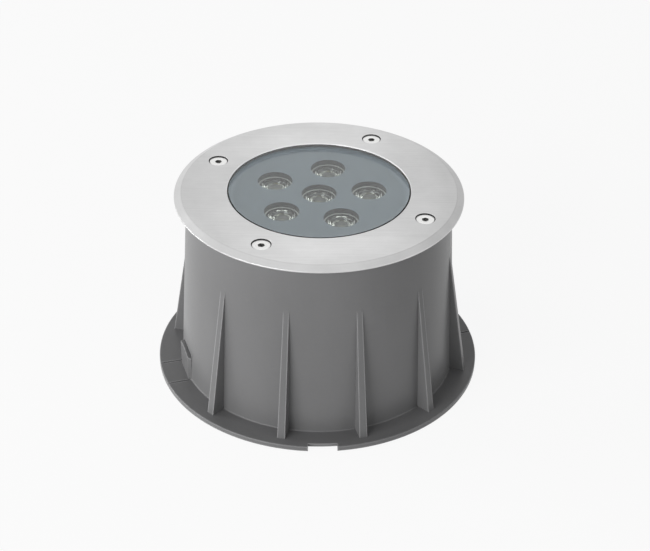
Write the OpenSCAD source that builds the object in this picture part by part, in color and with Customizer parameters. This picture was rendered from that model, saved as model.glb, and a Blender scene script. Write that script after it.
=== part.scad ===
// Recessed ground light: a ribbed mounting sleeve, and a finned luminaire under a steel cover ring.
// Origin at the middle of the foot, +Z up, the front faces -Y. Millimetres and degrees.

/* [Overall] */
// Height from the underside of the foot flange to the top of the cover ring
overall_h = 124.5; // [118:0.5:140]
// Angle of the sleeve's front notch from the front, seen from above
sleeve_turn = 2.1; // [-10:0.1:10]
// Angle of the first cover screw from the front
screw_turn = -27.7; // [-40:0.1:-20]
// Angle of the first outer lens from the front
lens_turn = 25.8; // [15:0.1:35]

/* [Cover ring] */
// Outer diameter of the cover ring
ring_d = 180; // [178:0.5:186]
// Thickness of the cover ring
ring_t = 3.5; // [3.3:0.1:4.5]
// Diameter of the opening round the glass
ring_bore_d = 114; // [112:0.2:116]
// Width of the bevel along the rim
ring_bevel_w = 4.4; // [3:0.1:5.5]
// Drop of the bevel along the rim
ring_bevel_h = 2.5; // [1.5:0.1:2.8]
// How far the ring reaches over the sleeve
ring_overhang = 7.4; // [6.4:0.1:8]
// Chamfer along the edge of the opening
ring_bore_chamfer = 0.4; // [0.2:0.1:0.6]

/* [Cover screws] */
// Diameter of the circle that the screws lie on
screw_pcd = 145.3; // [144.5:0.1:146.5]
// Thread diameter
screw_d = 6; // [5.5:0.1:6.2]
// Head diameter
screw_head_d = 11; // [10.6:0.1:11.4]
// Length from the top of the head to the tip
screw_len = 11.5; // [9:0.5:12]
// How deep the head sits below the ring's top
screw_sink = 0.55; // [0.3:0.05:0.6]
// Width across the flats of the hexagon socket
screw_key = 3.9; // [3:0.1:4.2]
// Depth of the hexagon socket
screw_key_depth = 2.6; // [1.5:0.1:3]

/* [Glass and gasket] */
// Thickness of the glass
glass_t = 7; // [6.5:0.1:9]
// How far the glass face sits below the ring's top
glass_drop = 0.2; // [0:0.05:0.4]
// How far the glass reaches under the ring
glass_lap = 7.1; // [6:0.1:7.4]
// Gap between the glass face and the ring, filled by the gasket
glass_gap = 0.7; // [0.4:0.05:1]
// Thickness of the gasket over the glass step
gasket_over_t = 0.8; // [0.6:0.1:1.2]
// Thickness of the gasket under the glass
gasket_under_t = 1.2; // [0.8:0.1:1.4]
// Thickness of the gasket outside the glass edge
gasket_side_t = 2.2; // [1.6:0.1:2.4]
// Width of the gasket lip under the glass
gasket_lip_w = 2.5; // [2:0.1:3]
// How far the gasket in the gap stays below the glass face
gasket_inset = 0.5; // [0.3:0.1:0.8]

/* [Mask plate] */
// Gap between the glass and the mask plate
mask_gap = 0.3; // [0.3:0.1:1]
// Thickness of the mask plate
mask_t = 2; // [1.6:0.1:2.4]
// Diameter of each opening in the mask
mask_bore_d = 21.8; // [20.8:0.1:22.2]
// Depth of each opening, with its collar
mask_bore_depth = 3.4; // [3:0.1:4.2]
// Wall of the collar round each opening
mask_collar_t = 1.2; // [0.8:0.1:1.5]

/* [Lenses] */
// Radius of the circle that the outer lenses lie on
lens_circle_r = 31.4; // [30.8:0.1:32]
// Diameter of each lens
lens_d = 19.6; // [19:0.1:20]
// Height of each lens
lens_h = 11; // [10:0.1:12]
// Thickness of the lens flange
lens_flange_t = 1.4; // [1:0.1:1.8]
// Diameter of the lens at its foot
lens_foot_d = 8.4; // [8:0.1:9]
// Diameter of the well in the lens face
lens_well_d = 11.4; // [10.5:0.1:12]
// Depth of the well in the lens face
lens_well_depth = 1.2; // [0.8:0.1:1.4]
// Height of the dome in the well
lens_dome_h = 1.5; // [0.8:0.1:1.8]
// Diameter of the hollow over the light source
lens_hollow_d = 5.6; // [5:0.1:6]
// Depth of the hollow over the light source
lens_hollow_depth = 4.2; // [3.6:0.1:4.6]
// Wall of the lens holder beside the lens flange
holder_wall = 2; // [1.6:0.1:2.2]

/* [Light sources and board] */
// Side of the square base of each light source
led_side = 3.5; // [3:0.1:4]
// Height of the base of each light source
led_base_t = 0.9; // [0.6:0.1:1.2]
// Diameter of the clear dome on each light source
led_dome_d = 2.7; // [2.2:0.1:2.9]
// Diameter of the board
board_d = 92; // [90:0.5:96]
// Thickness of the board
board_t = 1.6; // [1.2:0.1:2]
// Thickness of the thermal pad
pad_t = 0.4; // [0.3:0.1:0.6]
// Thickness of the carrier plate
carrier_t = 4; // [3:0.1:5]
// Diameter of the circle that the carrier's screws lie on
carrier_pcd = 110; // [109:0.5:111]
// Number of screws in the carrier
carrier_screw_n = 4; // [3:1:6]
// Radius of the circle that the board's screws lie on
board_screw_r = 42; // [41:0.5:43]

/* [Housing] */
// Height of the housing from its floor to its land
housing_h = 75; // [73:0.5:80]
// Thickness of the housing's floor
housing_floor_t = 3.5; // [3:0.1:5]
// Depth of the heavy rim that rests on the sleeve
rim_depth = 10; // [9.6:0.1:11]
// Wall of the body round the light sources, just under the rim
body_wall = 5.3; // [4.3:0.1:5.8]
// Inner radius of the driver chamber
chamber_r = 50; // [49.5:0.1:50.4]
// Wall of the driver chamber at its foot
chamber_wall = 3.4; // [3:0.1:3.9]
// How much thicker the chamber's wall is at its top
chamber_draft = 1.2; // [0.6:0.1:2]
// Number of cooling fins
fin_n = 24; // [20:1:30]
// Thickness of a fin at its root
fin_root_t = 2.6; // [2:0.1:3]
// Thickness of a fin at its edge
fin_edge_t = 1.6; // [1.2:0.1:1.9]
// Gap between the fins and the sleeve's ledge as the luminaire is lifted
fin_gap = 2; // [1.2:0.1:4]
// How much less the fins reach out at their foot
fin_taper = 3.6; // [2:0.1:6]

/* [Driver] */
// Length of the driver case
driver_l = 62; // [58:0.5:64]
// Width of the driver case
driver_w = 38; // [34:0.5:38]
// Height of the driver case
driver_h = 26; // [22:0.5:28]
// Wall of the driver case
driver_wall = 1.8; // [1.4:0.1:2.4]
// How far the driver lies in front of the middle
driver_offset = 13; // [12.5:0.1:13.5]
// Length of each fixing ear
driver_ear = 9; // [8.5:0.1:9.5]
// Height of the fixing posts
driver_post_h = 5; // [4:0.1:6]
// Diameter of a lead
lead_d = 1.4; // [1:0.1:1.6]
// Diameter of an input lead
input_lead_d = 2; // [1.6:0.1:2.4]
// Length of the terminal block
terminal_l = 26; // [24:0.5:27]
// Width of the terminal block
terminal_w = 13; // [12:0.5:14]
// Height of the terminal block
terminal_h = 13; // [12:0.5:15]

/* [Cable gland] */
// Distance of the gland and of the plug from the middle, left and right
entry_x = 25; // [24.5:0.5:26]
// Distance of the gland and of the plug behind the middle
entry_y = 20; // [19.5:0.5:21]
// Thread diameter of the gland and of the plug
entry_d = 16; // [15:0.5:16.5]
// Width across the flats of the gland's hexagons
gland_flats = 22; // [20.5:0.5:22.5]
// Diameter of the cable that the gland takes
cable_d = 7; // [5:0.1:8]
// Height of the gland body's hexagon
gland_hex_h = 5; // [4:0.1:6]
// Length of the collet below the hexagon
gland_collet_l = 9; // [8:0.1:10]
// Length of the cap nut
gland_nut_l = 14; // [13.5:0.1:15]

/* [Sleeve] */
// Thickness of the sleeve's wall
sleeve_wall = 3; // [2.6:0.1:3.6]
// Radius of the sleeve's wall where it meets the foot flange
sleeve_foot_r = 88.5; // [87:0.1:90]
// Width of the lip that surrounds the luminaire's rim
sleeve_lip = 3.2; // [2.8:0.1:3.6]
// Gap between the sleeve's top and the cover ring
sleeve_gap = 0.4; // [0.3:0.1:0.8]
// Width of the ledge that the luminaire rests on
ledge_w = 4.8; // [4.2:0.1:5]
// Thickness of the ledge at its edge
ledge_t = 3.5; // [2.5:0.1:5]
// Outer radius of the foot flange
flange_r = 103.8; // [103:0.1:108]
// Thickness of the flange plate
flange_t = 2.1; // [1.8:0.1:3]
// Width of the bead along the flange's edge
bead_w = 3; // [2:0.1:4]
// How far the bead hangs below the plate
bead_drop = 1; // [0.6:0.1:1.6]
// Radius of the flange's upper edge
flange_edge_r = 0.6; // [0.3:0.1:0.9]
// Width of the two notches in the flange's edge
notch_w = 18; // [14:0.5:22]

/* [Ribs] */
// Height of a rib's top over the ground
rib_top_z = 89; // [75:0.5:95]
// Distance from a rib's foot to the flange's edge
rib_foot_gap = 6; // [4.5:0.1:7.5]
// Thickness of a rib at its foot
rib_foot_t = 5; // [4:0.1:6]
// Thickness of a rib at its top
rib_top_t = 3.4; // [2.6:0.1:3.9]

/* [Cable doorways] */
// Half the width between the slits in the flange
door_half = 11.2; // [10:0.1:12.5]
// Height of the doorway at its sides
door_side_z = 19; // [16:0.5:24]
// Extra height of the doorway in the middle
door_arch = 2; // [1:0.1:3]
// How far the door panel stands out of the wall at its foot
door_proud = 1.1; // [0.6:0.1:1.6]
// Width of the slanted side of the door panel
door_slant = 1.9; // [1.4:0.1:2.4]
// Thickness of the door panel
door_t = 1.6; // [1.2:0.1:2]
// Width of the slits in the flange and over the panel
slit_w = 1.2; // [0.8:0.1:1.4]
// Depth of the slit over the panel
slit_depth = 2; // [1.5:0.1:2.2]

/* [Hidden] */
$fn = 96;
fine_steps = 180;

// Small sizes that many pieces share
overcut = 1;
fit_gap = 0.4;
turn_gap = 0.05;
hair_gap = 0.1;
edge_break = 0.3;

// Levels of the cover, from the top down
land_z = overall_h - ring_t;
glass_top_z = overall_h - glass_drop;
glass_foot_z = glass_top_z - glass_t;
glass_step_z = land_z - gasket_over_t;
gasket_foot_z = glass_foot_z - gasket_under_t;
mask_top_z = glass_foot_z - mask_gap;
mask_ledge_z = mask_top_z - mask_t;
holder_top_z = mask_top_z - mask_bore_depth - hair_gap;
lens_top_z = holder_top_z - hair_gap;
lens_foot_z = lens_top_z - lens_h;
lens_lift = 0.9;
board_top_z = lens_foot_z - lens_lift;
pad_top_z = board_top_z - board_t;
carrier_top_z = pad_top_z - pad_t;
carrier_foot_z = carrier_top_z - carrier_t;

// Radii of the cover
ring_r = ring_d / 2;
ring_bore_r = ring_bore_d / 2;
glass_face_r = ring_bore_r - glass_gap;
glass_edge_r = ring_bore_r + glass_lap;
gasket_r = glass_edge_r + gasket_side_t;
gasket_lip_r = glass_edge_r - gasket_lip_w;
mask_edge_gap = 0.5;
mask_r = gasket_lip_r - mask_edge_gap;
mask_bore_r = mask_bore_d / 2;

// Cover screws
screw_n = 4;
screw_circle_r = screw_pcd / 2;
screw_head_r = screw_head_d / 2;
screw_edge_h = 0.15;
screw_r = screw_d / 2 - turn_gap;
screw_hole_r = screw_d / 2;
screw_slot_r = screw_hole_r + 0.2;
screw_top_z = overall_h - screw_sink;
screw_tip_z = screw_top_z - screw_len;
screw_hole_rest = 0.6;
screw_tip_chamfer = 0.6;
sink_gap = 0.07;

// Pan head screws: shares of the head's radius
pan_crown_share = 0.72;
pan_slot_share = 0.28;
pan_slot_reach = 0.6;

// Housing
rim_foot_z = land_z - rim_depth;
housing_foot_z = land_z - housing_h;
chamber_floor_z = housing_foot_z + housing_floor_t;
gasket_seat_r = gasket_r + fit_gap;
mask_seat_r = mask_r + 0.3;
mask_ledge_w = 1.6;
cavity_r = mask_seat_r - mask_ledge_w;
carrier_r = cavity_r - 0.3;
carrier_circle_r = carrier_pcd / 2;
sleeve_top_r = ring_r - ring_overhang;
pocket_r = sleeve_top_r - sleeve_lip;
rim_r = pocket_r - fit_gap;
ledge_r = pocket_r - ledge_w;
rim_chamfer = 0.6;
body_top_r = cavity_r + body_wall;
waist_drop = 4;
waist_step = 1.5;
body_waist_z = carrier_foot_z - waist_drop;
body_waist_r = body_top_r - waist_step;
chamber_foot_r = chamber_r + chamber_wall;
chamber_top_r = chamber_foot_r + chamber_draft;
fin_top_r = ledge_r - fin_gap;
fin_foot_r = fin_top_r - fin_taper;
slope_h = 8;
foot_round = 3;
fin_top_drop = 4;
fin_foot_rise = 6;
fin_root_depth = 1;
fin_top_z = rim_foot_z - fin_top_drop;
fin_foot_z = housing_foot_z + fin_foot_rise;
fin_slope_h = 10;
carrier_screw_r = 2;
carrier_head_r = 3.5;
carrier_head_h = 2.4;
carrier_screw_len = 8;
carrier_screw_turn = 11.25;

// Lenses: one in the middle and the others round it
lens_n = 5;
lens_count = lens_n + 1;
lens_r = lens_d / 2;
lens_body_r = lens_r - 1;
lens_foot_r = lens_foot_d / 2;
lens_curve_steps = 8;
lens_curve_power = 0.62;
lens_hollow_dome = 0.8;
holder_play = 0.15;
holder_r = lens_r + holder_play + holder_wall;
holder_flare = 0.8;
holder_body_r = holder_r - holder_flare;
holder_shoulder_h = 3;
holder_side_gap = 0.3;
board_r = board_d / 2;
board_screw_hole_r = 1.6;
board_screw_thread_r = 1.5;
board_head_r = 2.8;
board_head_h = 1.7;
board_screw_len = 4.6;
gap_turn = 180 / lens_n;
board_screw_places = [1, 2, 3, 4];

// Driver, its posts and its leads
ear_t = 3;
ear_w = 11;
ear_screw_x = driver_l / 2 + driver_ear / 2;
post_r = 4.2;
post_z = chamber_floor_z + driver_post_h;
driver_screw_r = 1.8;
driver_head_r = 3.2;
driver_head_h = 2.2;
driver_screw_len = 5.5;
potting_drop = 1.5;
potting_top_z = chamber_floor_z + driver_h - potting_drop;
lead_r = lead_d / 2;
lead_place_r = 27;
lead_spread = 1.05;
lead_bend_r = 1.6;
lead_run = 4;
lead_rise = 1.2;
solder_r = 0.9;
grommet_bore_r = 2.4;
grommet_neck_r = 3.6;
grommet_flange_r = 4.8;
grommet_flange_t = 1.4;
lead_hole_r = grommet_flange_r + fit_gap;

// Terminal block and the leads that reach it
terminal_y = 38;
terminal_poles = 3;
terminal_pitch = terminal_l / (terminal_poles + 0.6);
terminal_hole_r = input_lead_d / 2 + 0.6;
terminal_screw_r = 1.7;
terminal_rib_depth = 4;
terminal_screw_drop = 1;
terminal_slot_w = 0.6;
terminal_wall = 1;
terminal_hole_z = chamber_floor_z + 5;
input_lead_r = input_lead_d / 2;
input_lead_y = 2.5;
input_rise = 3;
input_arc_r = 4.5;
input_elbow_r = 4;
input_lead_past = 1;

// Cable gland and blanking plug
entry_r = entry_d / 2;
entry_hole_r = entry_r + 0.2;
seal_t = 1;
seal_w = 2;
gland_hex_top_z = housing_foot_z - seal_t;
gland_hex_foot_z = gland_hex_top_z - gland_hex_h;
gland_collet_foot_z = gland_hex_foot_z - gland_collet_l;
gland_collet_r = entry_r + 1;
gland_bore_r = gland_collet_r - 2.8;
locknut_h = 5;
thread_stub = 2;
gland_thread_top_z = chamber_floor_z + locknut_h + thread_stub;
bush_r = gland_bore_r - turn_gap;
bush_l = 8.2;
bush_foot_z = gland_collet_foot_z + 0.4;
cable_r = cable_d / 2;
throat_r = bush_r - 1;
nut_play = 0.6;
nut_top_z = gland_hex_foot_z - nut_play;
nut_foot_z = nut_top_z - gland_nut_l;
nut_floor_z = gland_collet_foot_z - fit_gap;
nut_bore_r = gland_collet_r + turn_gap;
nut_mouth_r = cable_r + 1.2;
nut_hex_h = 8;
nut_nose_r = gland_collet_r + 0.6;
nut_round = 3;
plug_head_r = 10.8;
plug_head_h = 4.5;
plug_edge = 0.8;
plug_key = 8;
plug_key_depth = 3;

// Sleeve
sleeve_top_z = land_z - sleeve_gap;
ledge_top_z = rim_foot_z;
flange_top_z = bead_drop + flange_t;
foot_step = 1;
foot_fillet = 0.7;
notch_past = 0.4;
sleeve_fall = (sleeve_foot_r - sleeve_top_r) / (sleeve_top_z - flange_top_z);
rib_tip_r = flange_r - rib_foot_gap;
place_n = 12;
place_step = 360 / place_n;
rib_root = 1.5;
door_first = 4;
door_second = 10;
door_face_r = sleeve_foot_r + door_proud;
door_back_r = door_face_r - door_t;
door_jamb = 2;
door_recess_drop = 2.5;

// Radius of the sleeve's outside at a height
function wall_r(z) = sleeve_top_r + (sleeve_top_z - z) * sleeve_fall;

// Points of an arc from one angle to another
function arc(x, y, r, from, to, steps) =
  [for (i = [0:steps]) let (a = from + (to - from) * i / steps) [x + r * cos(a), y + r * sin(a)]];

// Position of lens i on the light: the first is the middle one
function lens_xy(i) = i == 1 ? [0, 0]
  : [lens_circle_r * sin(lens_az(i)), -lens_circle_r * cos(lens_az(i))];
function lens_az(i) = lens_turn - (i - 2) * 360 / lens_n;

// Angle of the gap between outer lenses k and k + 1
function gap_az(k) = lens_turn - gap_turn - k * 360 / lens_n;

// Sets a child at a radius and an angle from the front, both seen from above
module at_turn(az, r = 0) {
  rotate([0, 0, az]) translate([0, -r, 0]) children();
}

// A plate along the radius: its outline is drawn as radius and height
module radial_plate(t) {
  rotate([0, 0, -90]) rotate([90, 0, 0]) linear_extrude(height = t, center = true) children();
}

// A straight cut or block seen from the front: its outline is drawn as width and height
module facing_block(from_r, to_r) {
  translate([0, -from_r, 0]) rotate([90, 0, 0]) linear_extrude(height = to_r - from_r) children();
}

module tube(r_out, r_in, z_low, z_high) {
  translate([0, 0, z_low]) difference() {
    cylinder(r = r_out, h = z_high - z_low);
    translate([0, 0, -overcut]) cylinder(r = r_in, h = z_high - z_low + 2 * overcut);
  }
}

module rod(r, z_low, z_high) {
  translate([0, 0, z_low]) cylinder(r = r, h = z_high - z_low);
}

module hexagon(flats, z_low, z_high) {
  translate([0, 0, z_low]) cylinder(r = flats / 2 / cos(30), h = z_high - z_low, $fn = 6);
}

// Hexagon with the turned chamfer that a nut has on one face
module chamfered_hexagon(flats, z_low, z_high) {
  corner = flats / 2 / cos(30);
  cut = corner - flats / 2;
  intersection() {
    hexagon(flats, z_low, z_high);
    rotate_extrude() polygon([
      [0, z_low], [corner - cut, z_low], [corner, z_low + cut],
      [corner, z_high - cut / 2], [corner - cut / 2, z_high], [0, z_high]
    ]);
  }
}

module sleeve_shell() {
  ledge_slope = wall_r(ledge_top_z - ledge_t) - sleeve_wall - ledge_r;
  slope_z = ledge_top_z - ledge_t - ledge_slope;
  rotate_extrude() polygon(concat(
    [
      [sleeve_foot_r - sleeve_wall, 0],
      [sleeve_foot_r + foot_step, 0],
      [sleeve_foot_r + foot_step, bead_drop],
      [flange_r - bead_w, bead_drop],
      [flange_r - bead_w, 0],
      [flange_r, 0]
    ],
    arc(flange_r - flange_edge_r, flange_top_z - flange_edge_r, flange_edge_r, 0, 90, 4),
    arc(sleeve_foot_r + foot_fillet, flange_top_z + foot_fillet, foot_fillet, 270, 180, 4),
    [
      [sleeve_top_r, sleeve_top_z],
      [pocket_r, sleeve_top_z],
      [pocket_r, ledge_top_z],
      [ledge_r, ledge_top_z],
      [ledge_r, ledge_top_z - ledge_t],
      [wall_r(slope_z) - sleeve_wall, slope_z]
    ]
  ));
}

module sleeve_rib() {
  low_z = flange_top_z - flange_t / 2;
  closing = (rib_tip_r - wall_r(rib_top_z)) / (rib_top_z - flange_top_z) - sleeve_fall;
  end_z = rib_top_z + rib_root / closing;
  intersection() {
    radial_plate(rib_foot_t + overcut) polygon([
      [wall_r(low_z) - rib_root, low_z],
      [rib_tip_r, low_z],
      [rib_tip_r, flange_top_z],
      [wall_r(end_z) - rib_root, end_z]
    ]);
    facing_block(0, flange_r) polygon([
      [-rib_foot_t / 2, low_z - overcut],
      [rib_foot_t / 2, low_z - overcut],
      [rib_top_t / 2, end_z + overcut],
      [-rib_top_t / 2, end_z + overcut]
    ]);
  }
}

// Outline of the doorway as width and height, with its shallow arch
module door_outline(half, extra = 0, low = 0) {
  arch_r = (door_half * door_half + door_arch * door_arch) / (2 * door_arch) + extra;
  top = door_side_z + door_arch + extra;
  intersection() {
    translate([-half, low]) square([2 * half, top - low]);
    translate([0, top - arch_r]) circle(r = arch_r, $fn = fine_steps);
  }
}

module door_panel() {
  half_face = door_half - door_slant;
  root_r = sleeve_foot_r - sleeve_wall * 2 / 3;
  intersection() {
    facing_block(root_r, door_face_r) door_outline(door_half, 0, flange_top_z - hair_gap);
    linear_extrude(height = door_side_z + door_arch + overcut) polygon([
      [-door_half, -root_r + overcut],
      [-door_half, -(door_face_r - door_slant)],
      [-half_face, -door_face_r],
      [half_face, -door_face_r],
      [door_half, -(door_face_r - door_slant)],
      [door_half, -root_r + overcut]
    ]);
  }
}

// The slits round a door panel and its thinned back
module door_cuts() {
  inside_r = sleeve_top_r - sleeve_wall;
  for (side = [-1, 1]) {
    translate([side * door_half - slit_w / 2, -flange_r - overcut, -overcut])
      cube([slit_w, flange_r + overcut - sleeve_foot_r - foot_fillet / 2, flange_top_z + 2 * overcut]);
  }
  difference() {
    facing_block(wall_r(door_side_z) - slit_depth, door_face_r + overcut)
      door_outline(door_half - slit_w, slit_w);
    facing_block(inside_r, door_face_r + 2 * overcut) door_outline(door_half, 0, -overcut);
  }
  facing_block(inside_r, door_back_r) intersection() {
    door_outline(door_half - door_jamb, -door_recess_drop, flange_top_z);
    translate([-door_half, flange_top_z]) square([2 * door_half, door_side_z]);
  }
}

module flange_notch() {
  difference() {
    translate([-notch_w / 2, -flange_r - overcut, -overcut])
      cube([notch_w, flange_r + overcut, flange_top_z + 2 * overcut]);
    rod(flange_r - bead_w - notch_past, -2 * overcut, flange_top_z + 2 * overcut);
  }
}

// Twelve places round the wall hold ten ribs and two doorways: the notches lie between two ribs
module sleeve() {
  color([0.42, 0.42, 0.43]) rotate([0, 0, sleeve_turn - place_step / 2]) difference() {
    union() {
      sleeve_shell();
      for (i = [0:place_n - 1]) if (i != door_first && i != door_second) at_turn(i * place_step) sleeve_rib();
      for (i = [door_first, door_second]) at_turn(i * place_step) door_panel();
    }
    for (i = [door_first, door_second]) at_turn(i * place_step) door_cuts();
    for (side = [0, 180]) at_turn(side + place_step / 2) flange_notch();
  }
}

// Profile of the housing's pot as radius and height
module housing_profile() {
  polygon(concat(
    [[0, housing_foot_z]],
    arc(chamber_foot_r - foot_round, housing_foot_z + foot_round, foot_round, 270, 360, 4),
    [
      [chamber_top_r, body_waist_z - slope_h],
      [body_waist_r, body_waist_z],
      [body_top_r, rim_foot_z],
      [rim_r - rim_chamfer, rim_foot_z],
      [rim_r, rim_foot_z + rim_chamfer],
      [rim_r, land_z],
      [gasket_seat_r, land_z],
      [gasket_seat_r, gasket_foot_z],
      [mask_seat_r, gasket_foot_z],
      [mask_seat_r, mask_ledge_z],
      [cavity_r, mask_ledge_z],
      [cavity_r, carrier_foot_z],
      [chamber_r, carrier_foot_z],
      [chamber_r, chamber_floor_z],
      [0, chamber_floor_z]
    ]
  ));
}

module fin() {
  root_r = chamber_foot_r - fin_root_depth;
  intersection() {
    radial_plate(fin_root_t) polygon([
      [root_r, fin_foot_z],
      [fin_foot_r - fin_slope_h / 2, fin_foot_z],
      [fin_foot_r, fin_foot_z + fin_slope_h],
      [fin_top_r, fin_top_z],
      [body_top_r - fin_root_depth, fin_top_z],
      [body_waist_r - fin_root_depth, body_waist_z],
      [root_r, body_waist_z - slope_h]
    ]);
    linear_extrude(height = overall_h) polygon([
      [-fin_root_t / 2, -root_r + overcut],
      [fin_root_t / 2, -root_r + overcut],
      [fin_edge_t / 2, -fin_top_r - overcut],
      [-fin_edge_t / 2, -fin_top_r - overcut]
    ]);
  }
}

module housing() {
  color([0.56, 0.57, 0.58]) difference() {
    union() {
      rotate_extrude() housing_profile();
      for (i = [0:fin_n - 1]) at_turn((i + 0.5) * 360 / fin_n) fin();
      for (side = [-1, 1]) translate([side * ear_screw_x, -driver_offset, 0])
        rod(post_r, chamber_floor_z - overcut, post_z);
    }
    for (i = [0:screw_n - 1]) at_turn(screw_turn + i * 360 / screw_n, screw_circle_r)
      rod(screw_hole_r, screw_tip_z - screw_hole_rest, land_z + overcut);
    for (i = [0:carrier_screw_n - 1]) at_turn(carrier_screw_az(i), carrier_circle_r)
      rod(carrier_screw_r, carrier_top_z - carrier_screw_len - hair_gap, carrier_foot_z + overcut);
    for (side = [-1, 1]) {
      translate([side * ear_screw_x, -driver_offset, 0])
        rod(driver_screw_r, post_z + ear_t - driver_screw_len - hair_gap, post_z + overcut);
      translate([side * entry_x, entry_y, 0])
        rod(entry_hole_r, housing_foot_z - overcut, chamber_floor_z + overcut);
    }
  }
}

function carrier_screw_az(i) = carrier_screw_turn + i * 360 / carrier_screw_n;

module cover_ring() {
  sink_r = screw_head_r + sink_gap + screw_sink + screw_edge_h;
  sink_depth = sink_r - screw_slot_r;
  color([0.82, 0.82, 0.82]) difference() {
    rotate_extrude($fn = fine_steps) polygon([
      [ring_bore_r, land_z],
      [ring_r - edge_break, land_z],
      [ring_r, land_z + edge_break],
      [ring_r, overall_h - ring_bevel_h],
      [ring_r - ring_bevel_w, overall_h],
      [ring_bore_r + ring_bore_chamfer, overall_h],
      [ring_bore_r, overall_h - ring_bore_chamfer]
    ]);
    for (i = [0:screw_n - 1]) at_turn(screw_turn + i * 360 / screw_n, screw_circle_r) {
      rod(screw_slot_r, land_z - overcut, overall_h + overcut);
      translate([0, 0, overall_h - sink_depth])
        cylinder(r1 = screw_slot_r, r2 = sink_r + overcut, h = sink_depth + overcut);
    }
  }
}

module ring_screw(i) {
  color([0.78, 0.78, 0.79]) at_turn(screw_turn + (i - 1) * 360 / screw_n, screw_circle_r) difference() {
    rotate_extrude() polygon([
      [0, screw_tip_z],
      [screw_r - screw_tip_chamfer, screw_tip_z],
      [screw_r, screw_tip_z + screw_tip_chamfer],
      [screw_r, screw_top_z - screw_edge_h - screw_head_r + screw_r],
      [screw_head_r, screw_top_z - screw_edge_h],
      [screw_head_r, screw_top_z - screw_edge_h / 2],
      [screw_head_r - screw_edge_h / 2, screw_top_z],
      [0, screw_top_z]
    ]);
    hexagon(screw_key, screw_top_z - screw_key_depth, screw_top_z + overcut);
  }
}

module glass() {
  color([0.75, 0.85, 0.85, 0.35]) rotate_extrude($fn = fine_steps) polygon([
    [0, glass_foot_z],
    [glass_edge_r, glass_foot_z],
    [glass_edge_r, glass_step_z],
    [glass_face_r, glass_step_z],
    [glass_face_r, glass_top_z - edge_break],
    [glass_face_r - edge_break, glass_top_z],
    [0, glass_top_z]
  ]);
}

module glass_gasket() {
  color([0.08, 0.08, 0.08]) rotate_extrude($fn = fine_steps) polygon([
    [gasket_lip_r, gasket_foot_z],
    [gasket_r, gasket_foot_z],
    [gasket_r, land_z],
    [ring_bore_r, land_z],
    [ring_bore_r, glass_top_z - gasket_inset],
    [glass_face_r, glass_top_z - gasket_inset],
    [glass_face_r, glass_step_z],
    [glass_edge_r, glass_step_z],
    [glass_edge_r, glass_foot_z],
    [gasket_lip_r, glass_foot_z]
  ]);
}

module mask_plate() {
  color([0.45, 0.48, 0.5]) difference() {
    union() {
      rod(mask_r, mask_ledge_z, mask_top_z);
      for (i = [1:lens_count]) translate(lens_xy(i))
        rod(mask_bore_r + mask_collar_t, mask_top_z - mask_bore_depth, mask_top_z - overcut);
    }
    for (i = [1:lens_count]) translate(lens_xy(i))
      rod(mask_bore_r, mask_top_z - mask_bore_depth - overcut, mask_top_z + overcut);
  }
}

// The collimator's reflecting side, from the foot up to the flange
function lens_side() = [
  for (i = [0:lens_curve_steps])
    let (t = i / lens_curve_steps)
    [
      lens_foot_r + (lens_body_r - lens_foot_r) * pow(t, lens_curve_power),
      lens_foot_z + (lens_h - lens_flange_t) * t
    ]
];

module lens(i) {
  well_z = lens_top_z - lens_well_depth;
  well_r = lens_well_d / 2;
  dome_r = (well_r * well_r + lens_dome_h * lens_dome_h) / (2 * lens_dome_h);
  hollow_r = lens_hollow_d / 2;
  hollow_z = lens_foot_z + lens_hollow_depth;
  hollow_dome_r = (hollow_r * hollow_r + lens_hollow_dome * lens_hollow_dome) / (2 * lens_hollow_dome);
  dome_half = asin(well_r / dome_r);
  hollow_half = asin(hollow_r / hollow_dome_r);
  color([0.92, 0.93, 0.9, 0.4]) translate(lens_xy(i)) rotate_extrude() polygon(concat(
    lens_side(),
    [
      [lens_r, lens_top_z - lens_flange_t],
      [lens_r, lens_top_z],
      [well_r + lens_well_depth / 2, lens_top_z]
    ],
    arc(0, well_z + lens_dome_h - dome_r, dome_r, 90 - dome_half, 90, 8),
    arc(0, hollow_z - lens_hollow_dome + hollow_dome_r, hollow_dome_r, 270, 270 + hollow_half, 4),
    [[hollow_r, lens_foot_z]]
  ));
}

module lens_holder(i) {
  inside = lens_side();
  hole_r = lens_foot_r + holder_side_gap;
  color([0.86, 0.86, 0.84]) translate(lens_xy(i)) rotate_extrude() polygon(concat(
    [
      [hole_r, board_top_z],
      [holder_body_r, board_top_z],
      [holder_body_r, holder_top_z - holder_shoulder_h],
      [holder_r, holder_top_z - holder_shoulder_h + holder_flare],
      [holder_r, holder_top_z],
      [lens_r + holder_play, holder_top_z],
      [lens_r + holder_play, lens_top_z - lens_flange_t]
    ],
    [for (k = [lens_curve_steps:-1:0]) [inside[k][0] + holder_side_gap, inside[k][1]]]
  ));
}

module led(i) {
  dome_r = led_dome_d / 2;
  color([0.95, 0.85, 0.35]) translate(lens_xy(i)) {
    translate([-led_side / 2, -led_side / 2, board_top_z]) cube([led_side, led_side, led_base_t]);
    intersection() {
      translate([0, 0, board_top_z + led_base_t]) sphere(r = dome_r);
      rod(dome_r + overcut, board_top_z + led_base_t / 2, board_top_z + led_base_t + dome_r + overcut);
    }
  }
}

// The screws of the board sit in four of the gaps between the outer lenses
module at_board_screws() {
  for (k = board_screw_places) at_turn(gap_az(k), board_screw_r) children();
}

module led_board() {
  color([0.93, 0.93, 0.9]) difference() {
    rod(board_r, pad_top_z, board_top_z);
    at_board_screws() rod(board_screw_hole_r, pad_top_z - overcut, board_top_z + overcut);
    at_turn(gap_az(0), lead_place_r) rod(lead_hole_r, pad_top_z - overcut, board_top_z + overcut);
  }
}

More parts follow.
